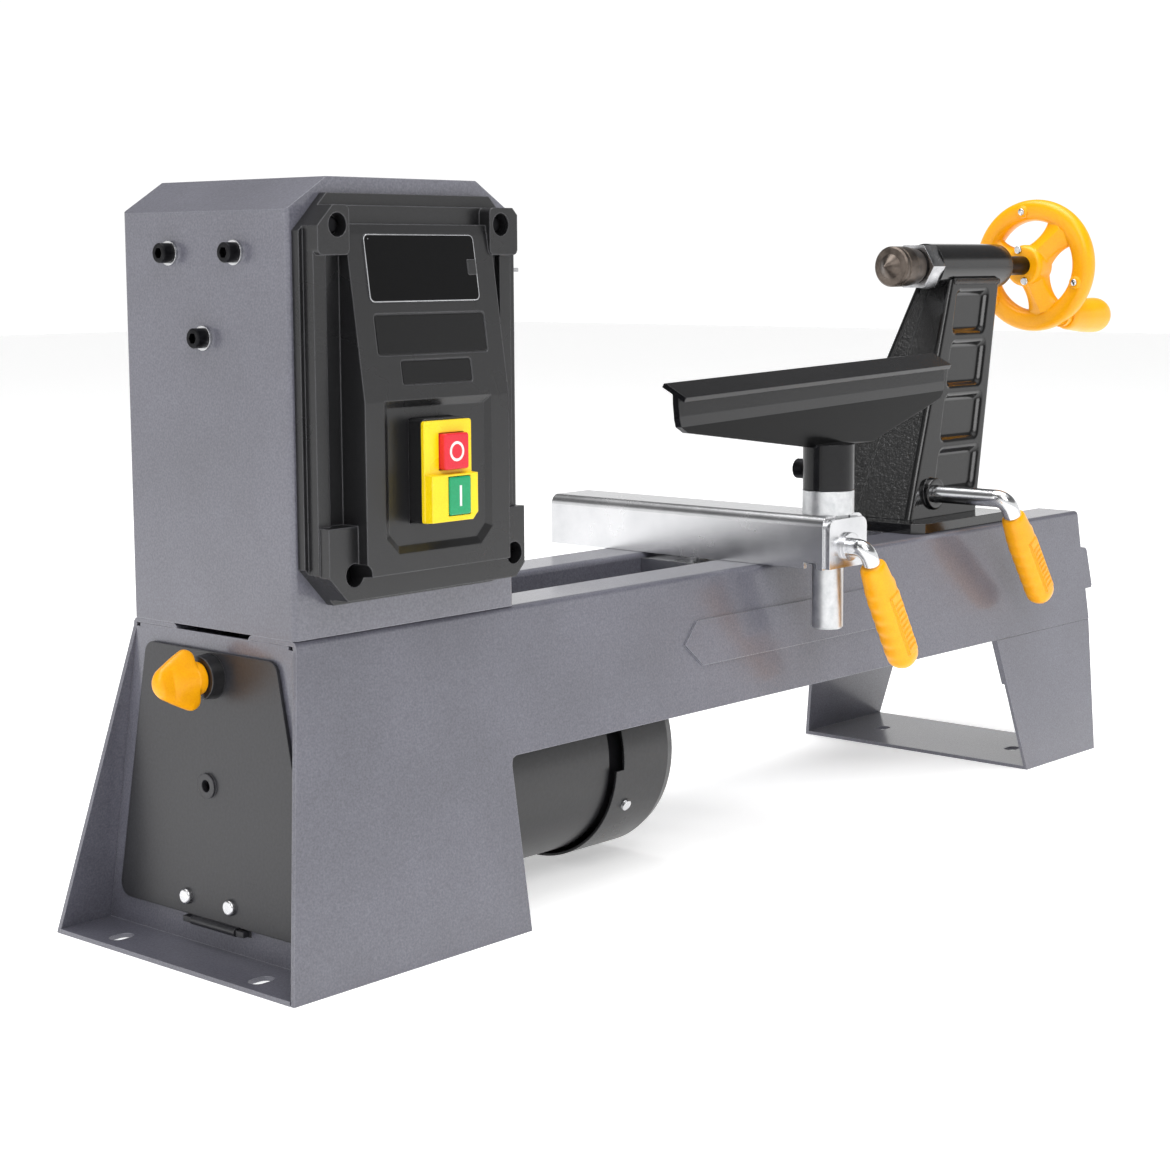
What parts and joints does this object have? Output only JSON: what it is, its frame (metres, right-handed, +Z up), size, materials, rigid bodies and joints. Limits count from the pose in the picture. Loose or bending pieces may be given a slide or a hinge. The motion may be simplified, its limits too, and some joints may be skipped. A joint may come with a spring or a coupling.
{
  "type": "wood lathe",
  "caption": "Bench wood lathe: folded sheet bed and headstock, belt drive, control panel, sliding tool rest and tailstock with handwheel.",
  "frame": {"origin": "centre of the bench-bolt pattern on the bench surface", "axes": "+X along the bed from headstock to tailstock, +Z up, the operator stands on the -Y side"},
  "size_m": [0.899, 0.2444, 0.3975],
  "materials": {
    "frame_paint": "fine-texture powder coat",
    "door_black": "semi-gloss powder coat",
    "black_plastic": "fine moulded texture",
    "orange_plastic": "moulded, satin",
    "zinc": "bright zinc and nickel plate",
    "steel": "turned",
    "black_steel": "black oxide and satin paint",
    "tail_black": "gloss paint over cast and plate surfaces",
    "rest_paint": "satin black enamel",
    "dark_steel": "dark turned and hardened",
    "motor_black": "satin paint",
    "pulley_aluminium": "turned casting",
    "belt_rubber": "ribbed rubber",
    "window_clear": "clear smoked plastic",
    "switch_yellow": "moulded",
    "button_red": "moulded",
    "button_green": "moulded"
  },
  "bodies": {
    "frame": {"bed_front_side": "frame_paint", "bed_back_side": "frame_paint", "left_end_panel": "frame_paint", "right_foot": "frame_paint", "bed_cross_ties": "frame_paint", "headstock_cover": "frame_paint", "bearing_housings": "black_steel", "headstock_screws": "black_steel", "headstock_washers": "zinc", "spindle_bearings": "steel", "drive_belt": "belt_rubber", "motor_plate": "frame_paint", "motor_body": "motor_black", "motor_fan_cover": "motor_black", "fan_cover_screws": "zinc", "control_panel": "black_plastic", "display_window": "window_clear", "panel_screws": "black_steel", "switch_block": "black_plastic", "switch_plate": "switch_yellow", "speed_controller": "black_plastic", "cable_gland": "black_plastic", "door_hinge": "door_black"},
    "spindle": {"spindle": "steel", "drive_spur": "steel", "spindle_pulley": "pulley_aluminium"},
    "motor_shaft": {"motor_shaft": "steel", "motor_pulley": "pulley_aluminium", "motor_fan": "black_plastic"},
    "stop_button": {"stop_button": "button_red"},
    "start_button": {"start_button": "button_green"},
    "door": {"access_door": "door_black", "door_screws": "zinc", "latch_collar": "black_plastic"},
    "latch": {"latch_knob": "orange_plastic", "latch_cam": "zinc"},
    "rest_clamp": {"rest_clamp_plate": "zinc"},
    "rest_nut": {"rest_hand_nut": "black_steel"},
    "rest_bolt": {"rest_t_bolt": "zinc"},
    "banjo": {"banjo_channel": "zinc", "banjo_sleeve": "zinc"},
    "rest_lever": {"rest_lever_rod": "zinc", "rest_lever_grip": "orange_plastic"},
    "rest_post": {"rest_post": "zinc"},
    "tool_rest": {"tool_rest": "rest_paint", "rest_lock_screw": "black_steel"},
    "tailstock": {"tail_base_plate": "tail_black", "tail_column": "tail_black", "tail_tube": "tail_black", "tail_clamp": "steel"},
    "lock_nut": {"quill_lock_nut": "steel"},
    "quill": {"quill": "steel", "centre_arbor": "steel"},
    "live_centre": {"live_centre": "dark_steel"},
    "handwheel": {"tail_screw": "steel", "handwheel": "orange_plastic", "wheel_screws": "black_steel"},
    "crank_handle": {"crank_handle": "orange_plastic"},
    "tail_lever": {"tail_lever_rod": "zinc", "tail_lever_grip": "orange_plastic"}
  },
  "joints": [
    {"name": "motor_spin", "type": "hinge", "parent": "frame", "child": "motor_shaft", "pos_m": [-0.232, 0, 0.0685], "axis": [1, 0, 0], "continuous": true},
    {"name": "spindle_spin", "type": "hinge", "parent": "frame", "child": "spindle", "pos_m": [-0.232, 0, 0.348], "axis": [1, 0, 0], "continuous": true},
    {"name": "stop_press", "type": "slide", "parent": "frame", "child": "stop_button", "axis": [0, 1, 0], "range_m": [0, 0.0025], "stiffness_N_per_m": 400},
    {"name": "start_press", "type": "slide", "parent": "frame", "child": "start_button", "axis": [0, 1, 0], "range_m": [0, 0.0025], "stiffness_N_per_m": 400},
    {"name": "door_swing", "type": "hinge", "parent": "frame", "child": "door", "pos_m": [-0.3349, 0, 0.0152], "axis": [0, -1, 0], "range_deg": [0, 75]},
    {"name": "latch_turn", "type": "hinge", "parent": "door", "child": "latch", "pos_m": [-0.342, -0.001, 0.1453], "axis": [1, 0, 0], "range_deg": [0, 90]},
    {"name": "rest_slide", "type": "slide", "parent": "frame", "child": "rest_clamp", "axis": [1, 0, 0], "range_m": [-0.05, 0.045]},
    {"name": "rest_nut_turn", "type": "hinge", "parent": "rest_clamp", "child": "rest_nut", "pos_m": [0.062, 0, 0.13], "axis": [0, 0, 1], "range_deg": [-60, 60]},
    {"name": "rest_swivel", "type": "hinge", "parent": "rest_clamp", "child": "rest_bolt", "pos_m": [0.062, 0, 0.15], "axis": [0, 0, 1], "range_deg": [-15, 15]},
    {"name": "rest_reach", "type": "slide", "parent": "rest_bolt", "child": "banjo", "axis": [0, 1, 0], "range_m": [-0.025, 0.012]},
    {"name": "post_height", "type": "slide", "parent": "banjo", "child": "rest_post", "axis": [0, 0, 1], "range_m": [0, 0.03]},
    {"name": "rest_turn", "type": "hinge", "parent": "rest_post", "child": "tool_rest", "pos_m": [0.062, -0.099, 0.23], "axis": [0, 0, 1], "range_deg": [-25, 20]},
    {"name": "rest_lever_turn", "type": "hinge", "parent": "banjo", "child": "rest_lever", "pos_m": [0.062, -0.115, 0.182], "axis": [0, 1, 0], "range_deg": [-100, 55]},
    {"name": "tail_slide", "type": "slide", "parent": "frame", "child": "tailstock", "axis": [1, 0, 0], "range_m": [-0.09, 0.06]},
    {"name": "tail_lever_turn", "type": "hinge", "parent": "tailstock", "child": "tail_lever", "pos_m": [0.275, 0, 0.192], "axis": [0, 1, 0], "range_deg": [-100, 40]},
    {"name": "lock_nut_turn", "type": "hinge", "parent": "tailstock", "child": "lock_nut", "pos_m": [0.322, 0, 0.348], "axis": [1, 0, 0], "range_deg": [-20, 20]},
    {"name": "wheel_turn", "type": "hinge", "parent": "tailstock", "child": "handwheel", "pos_m": [0.458, 0, 0.348], "axis": [-1, 0, 0], "range_deg": [0, 7200]},
    {"name": "quill_feed", "type": "slide", "parent": "tailstock", "child": "quill", "axis": [-1, 0, 0], "range_m": [0, 0.05]},
    {"name": "centre_spin", "type": "hinge", "parent": "quill", "child": "live_centre", "pos_m": [0.288, 0, 0.348], "axis": [1, 0, 0], "continuous": true},
    {"name": "crank_spin", "type": "hinge", "parent": "handwheel", "child": "crank_handle", "pos_m": [0.498, -0.021, 0.31], "axis": [1, 0, 0], "continuous": true}
  ],
  "couplings": [
    {"joint": "spindle_spin", "follows": "motor_spin", "ratio": 0.77143},
    {"joint": "quill_feed", "follows": "wheel_turn", "m_per_rad": 0.00039789}
  ]
}
